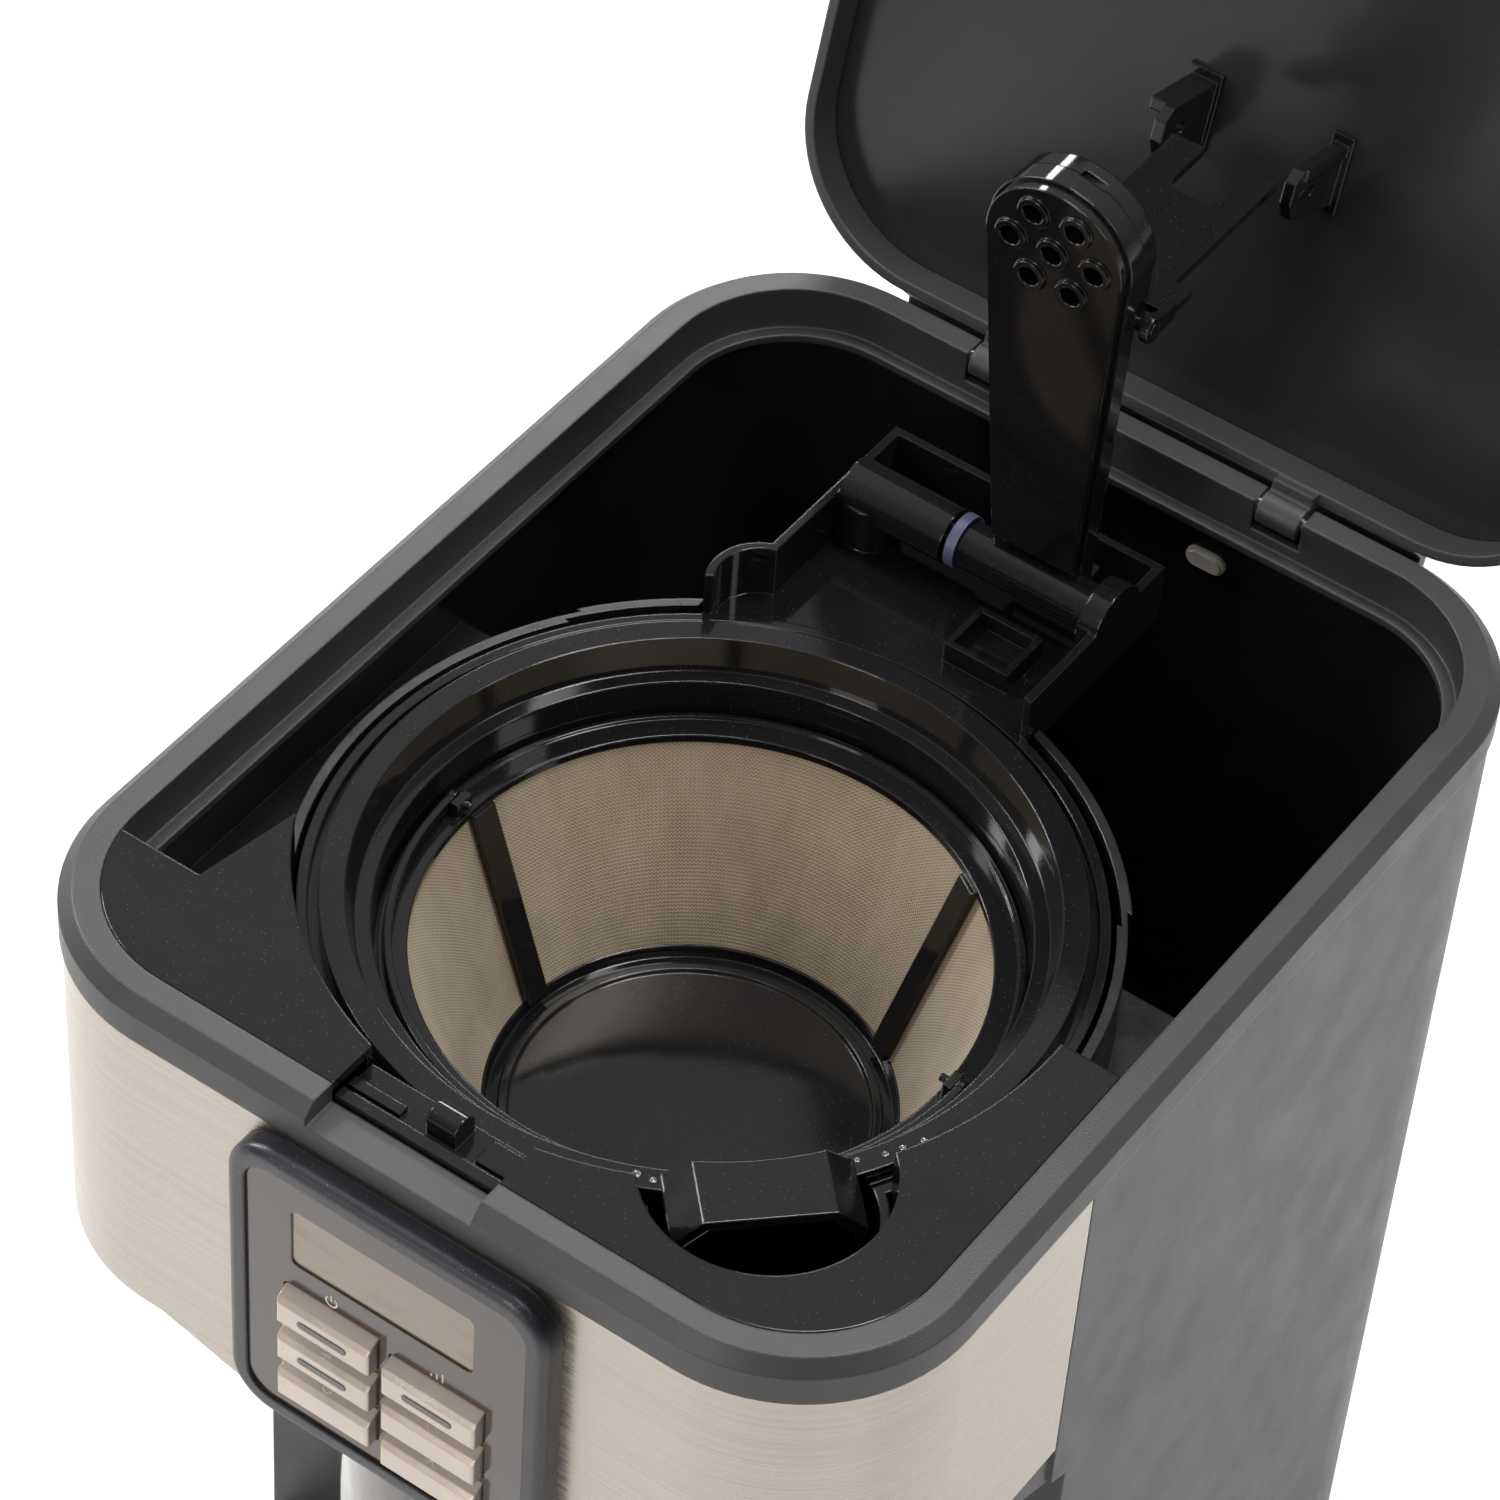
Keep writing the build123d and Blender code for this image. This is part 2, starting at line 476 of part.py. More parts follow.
with BuildPart() as basket_well:
    with BuildSketch(Plane.XY.offset(HEAD_FLOOR + 3)):
        with Locations((0, BREW_Y)):
            Circle(WELL_R + 2.2)
    extrude(amount=TANK_TOP - HEAD_FLOOR - 3)
    with BuildSketch(Plane.XY.offset(RIM_Z - 48)):
        with Locations((POCKET_X, POCKET_Y)):
            Circle(POCKET_R + 2)
    extrude(amount=TANK_TOP - RIM_Z + 48)
    with BuildSketch(Plane.XY.offset(HEAD_FLOOR)):
        with Locations((0, BREW_Y)):
            Circle(WELL_R)
    extrude(amount=RIM_Z - HEAD_FLOOR, mode=Mode.SUBTRACT)
    with BuildSketch(Plane.XY.offset(RIM_Z - 46)):
        with Locations((POCKET_X, POCKET_Y)):
            Circle(POCKET_R)
    extrude(amount=60, mode=Mode.SUBTRACT)
    add(head_room.part, mode=Mode.INTERSECT)
    # ledge that carries the basket, open at the pocket
    with BuildSketch(Plane.XY.offset(RIM_Z - 17.6)):
        with Locations((0, BREW_Y)):
            Circle(WELL_R + 1)
            Circle(74.6, mode=Mode.SUBTRACT)
        with Locations((POCKET_X, POCKET_Y)):
            Circle(POCKET_R + 0.4, mode=Mode.SUBTRACT)
    extrude(amount=2.4)
    # bridge tray behind the well
    with BuildSketch(Plane.XY.offset(TRAY_FLOOR - 2)):
        span(TRAY_LEFT - 2, TRAY_RIGHT + 2, 20, 97)
        with Locations((TRAY_LEFT + 3, 40)):
            Circle(12)
        with Locations((0, BREW_Y)):
            Circle(WELL_R + 1.5, mode=Mode.SUBTRACT)
    extrude(amount=15)
    with BuildSketch(Plane.XY.offset(TRAY_FLOOR)):
        span(TRAY_LEFT, TRAY_RIGHT, 20, 95)
        with Locations((TRAY_LEFT + 3, 40)):
            Circle(10)
        with Locations((0, BREW_Y)):
            Circle(WELL_R + 2.2, mode=Mode.SUBTRACT)
    extrude(amount=20, mode=Mode.SUBTRACT)
    with BuildSketch(Plane.XY.offset(TANK_TOP)):
        with Locations((0, BREW_Y)):
            Circle(WELL_R + 2.3)
    extrude(amount=20, mode=Mode.SUBTRACT)
    # riser boss and sleeve for the arm
    post(RISER_X, PIVOT_Y, 7, TRAY_FLOOR - 8, PIVOT_Z)
    rod(TRAY_LEFT, -15, PIVOT_Y, PIVOT_Z, 6.4)
    rod(-30, -14, PIVOT_Y, PIVOT_Z, 4.4, mode=Mode.SUBTRACT)
    rod(RISER_X, -30, PIVOT_Y, PIVOT_Z, 3.2, mode=Mode.SUBTRACT)
    post(RISER_X, PIVOT_Y, 4.5, TRAY_FLOOR - 10, TRAY_FLOOR - 4, mode=Mode.SUBTRACT)
    post(RISER_X, PIVOT_Y, 3.2, TRAY_FLOOR - 4, PIVOT_Z, mode=Mode.SUBTRACT)
    # round bearing lug on the right wall
    rod(TRAY_RIGHT - 3, TRAY_RIGHT + 2, PIVOT_Y, PIVOT_Z, 8.5)
    block(TRAY_RIGHT - 3, TRAY_RIGHT + 2, PIVOT_Y - 8.5, PIVOT_Y + 8.5, TRAY_FLOOR - 2, PIVOT_Z)
    rod(TRAY_RIGHT - 4, TRAY_RIGHT + 0.5, PIVOT_Y, PIVOT_Z, 3.05, mode=Mode.SUBTRACT)
    # baffle box in the tray
    block(-2, 14, 56, 70, TRAY_FLOOR, TRAY_FLOOR + 5)
    block(-0.5, 12.5, 57.5, 68.5, TRAY_FLOOR + 1, TRAY_FLOOR + 6, mode=Mode.SUBTRACT)
finish(basket_well.part, "basket_well")

# ---- lid, drawn standing open ---------------------------------------------------------------
LID_FRONT = -126.5
LID_BACK = 122.5
LID_W = 198
LID_MID = (LID_FRONT + LID_BACK) / 2
LID_L = LID_BACK - LID_FRONT
LID_BOTTOM = RIM_Z + 0.5
LID_TOP = RIM_Z + 13
PANEL_Z = RIM_Z + 9.2
LID_R = 34


def lid_outline(inset):
    with Locations((0, LID_MID)):
        RectangleRounded(LID_W - 2 * inset, LID_L - 2 * inset, LID_R - inset)


def opened(part):
    """Turn a part of the closed lid about the hinge into its open place."""
    return part.rotate(Axis((0, HINGE_Y, HINGE_Z), (-1, 0, 0)), LID_OPEN)


with BuildPart() as lid_shell:
    with BuildSketch(Plane.XY.offset(LID_BOTTOM)):
        lid_outline(0)
    extrude(amount=LID_TOP - LID_BOTTOM)
    fillet(lid_shell.faces().sort_by(Axis.Z)[-1].edges(), 4)
    with BuildSketch(Plane.XY.offset(LID_BOTTOM)):
        lid_outline(2.4)
    extrude(amount=LID_TOP - LID_BOTTOM - 2.2, mode=Mode.SUBTRACT)
    # hinge ears
    for side in (-1, 1):
        block(side * HINGE_X - 5, side * HINGE_X + 5, LID_BACK - 2, HINGE_Y, HINGE_Z + 1, LID_BOTTOM + 6)
        block(side * HINGE_X - 5, side * HINGE_X + 5, HINGE_Y - 3.8, HINGE_Y, HINGE_Z - 1, HINGE_Z + 3)
        rod(side * HINGE_X - 5, side * HINGE_X + 5, HINGE_Y, HINGE_Z, 3.8)
        rod(side * HINGE_X - 5, side * HINGE_X + 5, HINGE_Y, HINGE_Z, 1.85, mode=Mode.SUBTRACT)
    # curtain along the back edge, covering the gap over the rear rim when the lid is up
    with BuildSketch(Plane.YZ.offset(-66)):
        with BuildLine():
            Polyline((121, 341.2), (122.6, 340.9), (126.4, 345.8), (132, 346.2), (132, 349.2), (125, 349.2), (121, 344.5),
                     close=True)
        make_face()
    extrude(amount=132)
    # front latch tab
    block(-16, 12, LID_FRONT + 0.4, LID_FRONT + 2.8, RIM_Z - 4.4, LID_BOTTOM + 2)
    block(-10, 6, LID_FRONT - 1.6, LID_FRONT + 0.4, RIM_Z - 4.4, RIM_Z - 2.4)
finish(opened(lid_shell.part), "lid_shell")

with BuildPart() as lid_panel:
    with BuildSketch(Plane.XY.offset(PANEL_Z)):
        lid_outline(2.4)
    extrude(amount=LID_TOP - 2.2 - PANEL_Z)
finish(opened(lid_panel.part), "lid_panel")

with BuildPart() as lid_bracket:
    for x, cap in ((-11.6, -15.2), (20.2, 20.8)):
        with BuildSketch(Plane.YZ.offset(x)):
            with BuildLine():
                Polyline((61, PANEL_Z), (60, 338), (58, 329.6), (54, 327.4), (49, 327.4), (46.6, 330), (46.6, PANEL_Z),
                         close=True)
            make_face()
            with Locations((53, 333)):
                SlotCenterToCenter(5, 3, rotation=90, mode=Mode.SUBTRACT)
        extrude(amount=2.6)
        block(min(x, cap), max(x, cap) + 2.6, 46.6, 49.4, 331, PANEL_Z)
        block(min(x, cap) - 1, max(x, cap) + 3.6, 44.6, 63, PANEL_Z - 1.2, PANEL_Z)
finish(opened(lid_bracket.part), "lid_bracket")

# ---- spray arm, drawn raised ------------------------------------------------------------------
lean = math.radians(ARM_LEAN)
ARM = Plane((ARM_X, PIVOT_Y, PIVOT_Z), x_dir=(1, 0, 0), z_dir=(0, -math.cos(lean), -math.sin(lean)))
HEAD_R = 16.5
FOOT_HALF = 10.4


def arm_outline(grow):
    """Paddle shape: a round head on a tapering stem, pivot at the origin."""
    with BuildSketch(Plane.XY) as shape:
        with BuildLine():
            right = Line((FOOT_HALF + grow, -1), (HEAD_R + grow, HEAD_REACH - 4))
            top = ThreePointArc(right @ 1, (0, HEAD_REACH + HEAD_R + grow), (-HEAD_R - grow, HEAD_REACH - 4))
            left = Line(top @ 1, (-FOOT_HALF - grow, -1))
            Line(left @ 1, right @ 0)
        make_face()
    return shape.sketch


def on_arm(depth):
    return Plane(ARM.origin + ARM.z_dir * depth, x_dir=ARM.x_dir, z_dir=ARM.z_dir)


with BuildPart() as arm_shell:
    with BuildSketch(on_arm(-6.5)):
        add(arm_outline(0))
    extrude(amount=5)
    with BuildSketch(on_arm(-11)):
        add(arm_outline(-0.4))
        with Locations((0, 38)):
            Rectangle(60, 76, mode=Mode.SUBTRACT)
    extrude(amount=4.5)
    # water way inside
    with BuildSketch(on_arm(-5)):
        add(arm_outline(-2.2))
        with Locations((0, 0)):
            Rectangle(60, 10, mode=Mode.SUBTRACT)
    extrude(amount=4, mode=Mode.SUBTRACT)
    with BuildSketch(on_arm(-9.4)):
        add(arm_outline(-2.4))
        with Locations((0, 39)):
            Rectangle(60, 78, mode=Mode.SUBTRACT)
    extrude(amount=5, mode=Mode.SUBTRACT)
    # pivot tube with its spigot and stub pin
    rod(-14, 20.4, PIVOT_Y, PIVOT_Z, 5.4)
    rod(-29, -14, PIVOT_Y, PIVOT_Z, 4.32)
    rod(20.4, 24, PIVOT_Y, PIVOT_Z, 3)
    rod(-30, 8, PIVOT_Y, PIVOT_Z, 2.6, mode=Mode.SUBTRACT)
    with Locations(on_arm(0)):
        with Locations((0, 4, -3.6)):
            Box(6, 6, 2.6, mode=Mode.SUBTRACT)
    # side pegs for the link
    with Locations(on_arm(-LINK_DEPTH)):
        with Locations(Location((0, LINK_REACH, 0), (0, 90, 0))):
            Cylinder(1.6, 2 * (HEAD_R + 2.6))
    with BuildSketch(on_arm(-9.4)):
        add(arm_outline(-2.4))
        with Locations((0, 39)):
            Rectangle(60, 78, mode=Mode.SUBTRACT)
    extrude(amount=5, mode=Mode.SUBTRACT)
    # slot for the cover clip at the tip
    with Locations(on_arm(-7)):
        with Locations((4, HEAD_REACH + HEAD_R, 0)):
            Box(7, 3, 2, mode=Mode.SUBTRACT)
finish(arm_shell.part, "arm_shell")

with BuildPart() as shower_cover:
    with BuildSketch(on_arm(-1.5)):
        add(arm_outline(-0.9))
        with Locations((0, 2)):
            Rectangle(60, 12, mode=Mode.SUBTRACT)
    extrude(amount=2.5)
    with BuildSketch(on_arm(1)):
        with Locations((0, HEAD_REACH)):
            Circle(3.6)
            with PolarLocations(9.9, 6):
                Circle(3.6)
    extrude(amount=0.8)
    with BuildSketch(on_arm(-2)):
        with Locations((0, HEAD_REACH)):
            Circle(2.3)
            with PolarLocations(9.9, 6):
                Circle(2.3)
    extrude(amount=5, mode=Mode.SUBTRACT)
finish(shower_cover.part, "shower_cover")

with BuildPart() as pivot_o_ring:
    rod(-14.0, -11.6, PIVOT_Y, PIVOT_Z, 6.2)
    rod(-15, -10, PIVOT_Y, PIVOT_Z, 5.4, mode=Mode.SUBTRACT)
finish(pivot_o_ring.part, "pivot_o_ring")

LINK_PIN = ARM.origin + ARM.y_dir * LINK_REACH - ARM.z_dir * LINK_DEPTH
LINK_LEN = 53
CHEEK = HEAD_R + 0.5

with BuildPart() as lid_link:
    with Locations(Location(LINK_PIN)):
        for side in (-1, 1):
            with Locations(Location((side * (CHEEK + 1.1), 0, 0), (0, 90, 0))):
                Cylinder(3.2, 1.8)
            with Locations((side * (CHEEK + 1.1), 4, -0.2)):
                Box(1.8, 8, 4.2)
            with Locations(Location((side * (CHEEK + 1.1), 0, 0), (0, 90, 0))):
                Cylinder(1.66, 4, mode=Mode.SUBTRACT)
        with Locations((0, 9.5, -0.1)):
            Box(2 * CHEEK + 4, 9, 2)
    # forked plate that runs on to the lid
    with BuildSketch(Plane(LINK_PIN - Vector(0, 0, 1.1))):
        span(-10.3, 14.8, 7, LINK_LEN)
        with Locations((2.9, LINK_LEN)):
            RectangleRounded(11.3, 30, 3.4, mode=Mode.SUBTRACT)
    extrude(amount=2)
finish(lid_link.part, "lid_link")

# ---- brew basket ------------------------------------------------------------------------------
with BuildPart() as basket:
    turned((72, 329.3), (77.4, 329.3), (77.4, 325), (75.4, 325), (75.4, 327), (74, 327), (72.2, 319.6),
           (68.8, 319.6), (68.2, 309), (64, 307), (52.8, 257.5), (46.5, 251.8), (12, 244.5), (12, 230), (9.5, 230),
           (9.5, 243.5), (5, 243.5), (5, 246), (10, 246.6), (45.4, 254), (51, 258.8), (62.2, 308.6), (62.4, 311), (66.4, 311),
           (66.8, 321.6), (70.2, 321.6))
    # arched grip over the pocket
    with BuildSketch(Plane((0, BREW_Y, 0), x_dir=(math.sin(math.radians(46)), math.cos(math.radians(46)), 0),
                           z_dir=(math.cos(math.radians(46)), -math.sin(math.radians(46)), 0))) as arch:
        with BuildLine():
            Polyline((-19, 325.4), (-19, 329), (-13, 334.5), (13, 334.5), (19, 329), (19, 325.4), (16.6, 325.4),
                     (16.6, 328), (12, 332.3), (-12, 332.3), (-16.6, 328), (-16.6, 325.4), close=True)
        make_face()
    grip = extrude(arch.sketch, amount=88, mode=Mode.PRIVATE)
    with Locations((0, BREW_Y, 330)):
        middle = Cylinder(73.5, 30, mode=Mode.PRIVATE)
    add(grip - middle)
    # four ribs that hold the filter upright
    with Locations((0, BREW_Y, 0)):
        with PolarLocations(56.5, 4, start_angle=45):
            with Locations((-1.5, 0, 285)):
                Box(3, 1.6, 6)
finish(basket.part, "basket")

VALVE_LIFT = 3.5
with BuildPart() as valve_stem:
    turned((0, 223), (3, 223), (3, 228), (7.4, 228), (7.4, 229.2), (2.2, 229.2), (2.2, 246.4), (7, 247.6),
           (7, 249.2), (0, 249.2))
finish(valve_stem.part, "valve_stem")

with BuildPart() as valve_seal:
    turned((2.2, 246.4), (4.7, 246.4), (4.7, 245.2), (2.2, 245.2))
finish(valve_seal.part, "valve_seal")

with BuildPart() as valve_spring:
    with BuildLine() as coil:
        Helix(pitch=3.2, height=12.6, radius=5.6, center=(0, BREW_Y, 229.9))
    with BuildSketch(Plane(coil.line @ 0, z_dir=coil.line % 0)):
        Circle(0.45)
    sweep(path=coil.line, is_frenet=True)
finish(valve_spring.part, "valve_spring")

# ---- filter -------------------------------------------------------------------------------------
with BuildPart() as filter_frame:
    turned((59.4, 311.1), (65.6, 311.1), (65.6, 313.6), (64.4, 313.6), (64.4, 313.1), (59.4, 313.1))
    turned((44.9, 265), (44.2, 260.6), (0, 260.6), (0, 262.2), (38, 262.2), (38.4, 263.1), (40, 263.1),
           (40.4, 262.2), (42.7, 262.2), (43.3, 265))
    with BuildSketch(Plane.XZ.offset(-BREW_Y)) as rib_shape:
        with BuildLine():
            Polyline((60.2, 311.6), (43.6, 265), (41.9, 265), (58.2, 311.6), close=True)
        make_face()
    rib = extrude(rib_shape.sketch, amount=3, both=True, mode=Mode.PRIVATE)
    for angle in (176, 57, -63):
        add(rib.rotate(Axis((0, BREW_Y, 0), (0, 0, 1)), angle))
    # pivot lugs for the bail
    for side in (-1, 1):
        block(side * 61.4 - 1, side * 61.4 + 1, BREW_Y - 2.4, BREW_Y + 2.4, 313.1, 316.6)
        rod(side * 61.4 - 2.8, side * 61.4 + 2.8, BREW_Y, 315.4, 0.9)
finish(filter_frame.part, "filter_frame")

with BuildPart() as filter_mesh:
    turned((61, 311.1), (60.4, 311.1), (43.8, 265), (44.4, 265))
finish(filter_mesh.part, "filter_mesh")

with BuildPart() as filter_bail:
    with BuildSketch(Plane.XY.offset(314.2)):
        with Locations((0, BREW_Y)):
            Circle(64.2)
            Circle(62.6, mode=Mode.SUBTRACT)
        span(-WIDTH, WIDTH, BREW_Y - 3, DEPTH, mode=Mode.SUBTRACT)
    extrude(amount=2.4)
    for side in (-1, 1):
        block(side * 63.4 - 0.8, side * 63.4 + 0.8, BREW_Y - 4, BREW_Y, 314.2, 316.6)
        rod(side * 63.4 - 0.8, side * 63.4 + 0.8, BREW_Y, 315.4, 1.7)
        rod(side * 63.4 - 1, side * 63.4 + 1, BREW_Y, 315.4, 0.95, mode=Mode.SUBTRACT)
finish(filter_bail.part, "filter_bail")

# ---- control panel ------------------------------------------------------------------------------
PANEL_Y = FRONT - 5
BUTTON_W = 23
ROWS_LEFT = (285.4, 273.9, 262.4)
ROWS_RIGHT = (282.9, 271.4, 259.9)
BUTTONS = {
    "power_button": (-13, ROWS_LEFT[0]),
    "auto_button": (-13, ROWS_LEFT[1]),
    "hour_button": (-13, ROWS_LEFT[2]),
    "strength_button": (13, ROWS_RIGHT[0]),
    "program_button": (13, ROWS_RIGHT[1]),
    "minute_button": (13, ROWS_RIGHT[2]),
}


def front_plane(y, z=0):
    """A plane that faces the front, X to the right and Z up, at depth y."""
    return Plane((PANEL_X, y, z), x_dir=(1, 0, 0), z_dir=(0, -1, 0))


with BuildPart() as panel_bezel:
    with BuildSketch(front_plane(FRONT + SKIN, 286.6)):
        RectangleRounded(78, 81.2, 11)
    extrude(amount=-PANEL_Y + FRONT + SKIN)
    fillet(panel_bezel.faces().sort_by(Axis.Y)[0].edges(), 2.2)
    with BuildSketch(front_plane(FRONT + SKIN, 286.6)):
        RectangleRounded(68.6, 71.8, 6.5)
    extrude(amount=10, mode=Mode.SUBTRACT)
    with BuildSketch(front_plane(FRONT + 4, 286.6)):
        RectangleRounded(65.6, 69.6, 4)
        RectangleRounded(62, 66, 3, mode=Mode.SUBTRACT)
    extrude(amount=4)
    with BuildSketch(front_plane(FRONT + SKIN, 286.6)):
        RectangleRounded(72, 75, 6)
        RectangleRounded(62, 66, 3, mode=Mode.SUBTRACT)
    extrude(amount=1.6)
finish(panel_bezel.part, "panel_bezel")

with BuildPart() as panel_plate:
    with BuildSketch(front_plane(PANEL_Y + 2.9, 286.6)):
        RectangleRounded(68.4, 71.6, 6.4)
        with Locations((-0.7, 19.4)):
            RectangleRounded(44.6, 16.4, 1.6, mode=Mode.SUBTRACT)
        for x, z in BUTTONS.values():
            with Locations((x, z + 0.6 - 286.6)):
                RectangleRounded(BUTTON_W + 0.8, 10.2, 1, mode=Mode.SUBTRACT)
    extrude(amount=2.2)
finish(panel_plate.part, "panel_plate")

with BuildPart() as display_window:
    with BuildSketch(front_plane(PANEL_Y + 2.9, 306)):
        with Locations((-0.7, 0)):
            RectangleRounded(44.6, 16.4, 1.6)
    extrude(amount=1.8)
finish(display_window.part, "display_window")

with BuildPart() as display_module:
    with BuildSketch(front_plane(PANEL_Y + 7, 306)):
        with Locations((-0.7, 0)):
            Rectangle(44, 17)
    extrude(amount=3)
finish(display_module.part, "display_module")

with BuildPart() as control_board:
    with BuildSketch(front_plane(PANEL_Y + 10.6, 286)):
        Rectangle(60, 60)
    extrude(amount=1.6)
    for x, z in BUTTONS.values():
        with Locations((PANEL_X + x, PANEL_Y + 8, z)):
            Box(6, 2, 6)
    with Locations((PANEL_X - 0.7, PANEL_Y + 8, 306)):
        Box(30, 2, 10)
finish(control_board.part, "control_board")

for name, (x, z) in BUTTONS.items():
    with BuildPart() as button:
        with BuildSketch(Plane.YZ.offset(PANEL_X + x - BUTTON_W / 2)):
            with BuildLine():
                Polyline((PANEL_Y + 3.6, z - 3.9), (PANEL_Y - 2.2, z - 3.6), (PANEL_Y - 2.6, z - 3.2),
                         (PANEL_Y - 2.6, z + 2.4), (PANEL_Y - 1.6, z + 3.6), (PANEL_Y + 1.4, z + 5.2),
                         (PANEL_Y + 3.6, z + 5.2), close=True)
            make_face()
        extrude(amount=BUTTON_W)
        fillet(button.edges().filter_by(Axis.Z).group_by(Axis.Y)[0], 0.8)
        with Locations((PANEL_X + x, PANEL_Y + 4.4, z)):
            Box(4, 2.2, 4)
    finish(button.part, name)

# ---- carafe -------------------------------------------------------------------------------------
with BuildPart() as carafe_glass:
    with BuildSketch(Plane.XZ.offset(-BREW_Y)):
        with BuildLine():
            Line((0, 45.8), (52, 45.8))
            Spline((52, 45.8), (61, 50), (69, 78), (73, 130), (70.5, 160), (61, 184), (53.5, 193), (53, 200))
            Line((53, 200), (50.8, 200))
            Spline((50.8, 200), (51.3, 192.5), (58.8, 182.6), (68.3, 159.4), (70.8, 130), (66.8, 79), (59.4, 52),
                   (51, 48))
            Line((51, 48), (0, 48))
            Line((0, 48), (0, 45.8))
        make_face()
    revolve(axis=Axis((0, BREW_Y, 0), (0, 0, 1)))
finish(carafe_glass.part, "carafe_glass")

with BuildPart() as carafe_band:
    with BuildSketch(Plane.XY.offset(188)):
        with Locations((0, BREW_Y)):
            Circle(58.6)
            Circle(57.8, mode=Mode.SUBTRACT)
    extrude(amount=7)
    with BuildSketch(Plane.XY.offset(193.6)):
        with Locations((0, BREW_Y)):
            Circle(58)
            Circle(53.6, mode=Mode.SUBTRACT)
    extrude(amount=1.4)
    block(-7, 7, BREW_Y - 61.5, BREW_Y - 58.2, 188, 195)
finish(carafe_band.part, "carafe_band")

with BuildPart() as carafe_handle:
    with BuildSketch(Plane.YZ):
        with BuildLine():
            Polyline((BREW_Y - 61.5, 206), (BREW_Y - 61.5, 187.6), (BREW_Y - 66, 180), (BREW_Y - 74, 176), (BREW_Y - 94, 172),
                     (BREW_Y - 100, 160), (BREW_Y - 100, 100), (BREW_Y - 96, 84), (BREW_Y - 112, 80),
                     (BREW_Y - 114, 100), (BREW_Y - 114, 168), (BREW_Y - 106, 190), (BREW_Y - 90, 204), close=True)
        make_face()
    extrude(amount=9, both=True)
    fillet(carafe_handle.edges().filter_by(Axis.X), 2)
finish(carafe_handle.part, "carafe_handle")

with BuildPart() as handle_screw:
    with Locations(Location((0, BREW_Y - 115.2, 130), (90, 0, 0))):
        Cylinder(3, 2.4)
finish(handle_screw.part, "handle_screw")

with BuildPart() as carafe_lid:
    turned((0, 210), (20, 210), (24, 216), (46, 214), (55, 206), (55.4, 201), (53.2, 200.3), (50, 200.3),
           (50, 196), (48.2, 196), (48, 203), (22, 206), (10, 206), (8, 204), (0, 204))
    with Locations((0, BREW_Y, 207)):
        Cylinder(4, 30, mode=Mode.SUBTRACT)
    block(-6, 6, BREW_Y - 58, BREW_Y - 50, 203, 208)
finish(carafe_lid.part, "carafe_lid")
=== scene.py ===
"""Drip coffee maker with its lid open: finishes, small printed and moulded details, light, camera.

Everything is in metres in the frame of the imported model: +Z up, the machine faces -Y.
"""
import bpy
import bmesh
import json
import math
import random
from mathutils import Matrix, Vector


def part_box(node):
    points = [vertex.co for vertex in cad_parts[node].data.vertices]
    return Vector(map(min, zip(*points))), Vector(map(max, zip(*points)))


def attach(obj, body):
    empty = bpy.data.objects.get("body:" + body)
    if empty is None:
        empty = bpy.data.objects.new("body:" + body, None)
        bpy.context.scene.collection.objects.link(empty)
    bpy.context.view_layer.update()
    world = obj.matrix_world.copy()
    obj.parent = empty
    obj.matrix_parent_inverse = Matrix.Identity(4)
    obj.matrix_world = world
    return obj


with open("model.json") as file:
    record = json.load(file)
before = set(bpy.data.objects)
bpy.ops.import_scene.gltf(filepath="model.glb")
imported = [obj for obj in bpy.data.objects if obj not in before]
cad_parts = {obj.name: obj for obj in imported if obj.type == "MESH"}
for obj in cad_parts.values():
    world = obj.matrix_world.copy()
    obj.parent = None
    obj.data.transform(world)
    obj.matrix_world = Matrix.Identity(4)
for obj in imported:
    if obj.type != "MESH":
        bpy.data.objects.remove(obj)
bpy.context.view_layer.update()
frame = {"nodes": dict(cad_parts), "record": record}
NODES = frame["nodes"]
scene = bpy.context.scene
random.seed(7)

# axis of the basket, the filter and the carafe
BREW = Vector((0.0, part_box("carafe_glass")[0][1] / 2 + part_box("carafe_glass")[1][1] / 2, 0.0))


# ---- node material helper ---------------------------------------------------------------------
def fill_ramp(ramp, stops):
    """Set a colour ramp to (place, colour) stops in rising order."""
    ramp.elements[1].position = stops[-1][0]
    ramp.elements[1].color = (*stops[-1][1], 1)
    ramp.elements[0].position = stops[0][0]
    ramp.elements[0].color = (*stops[0][1], 1)
    for place, colour in stops[1:-1]:
        ramp.elements.new(place).color = (*colour, 1)


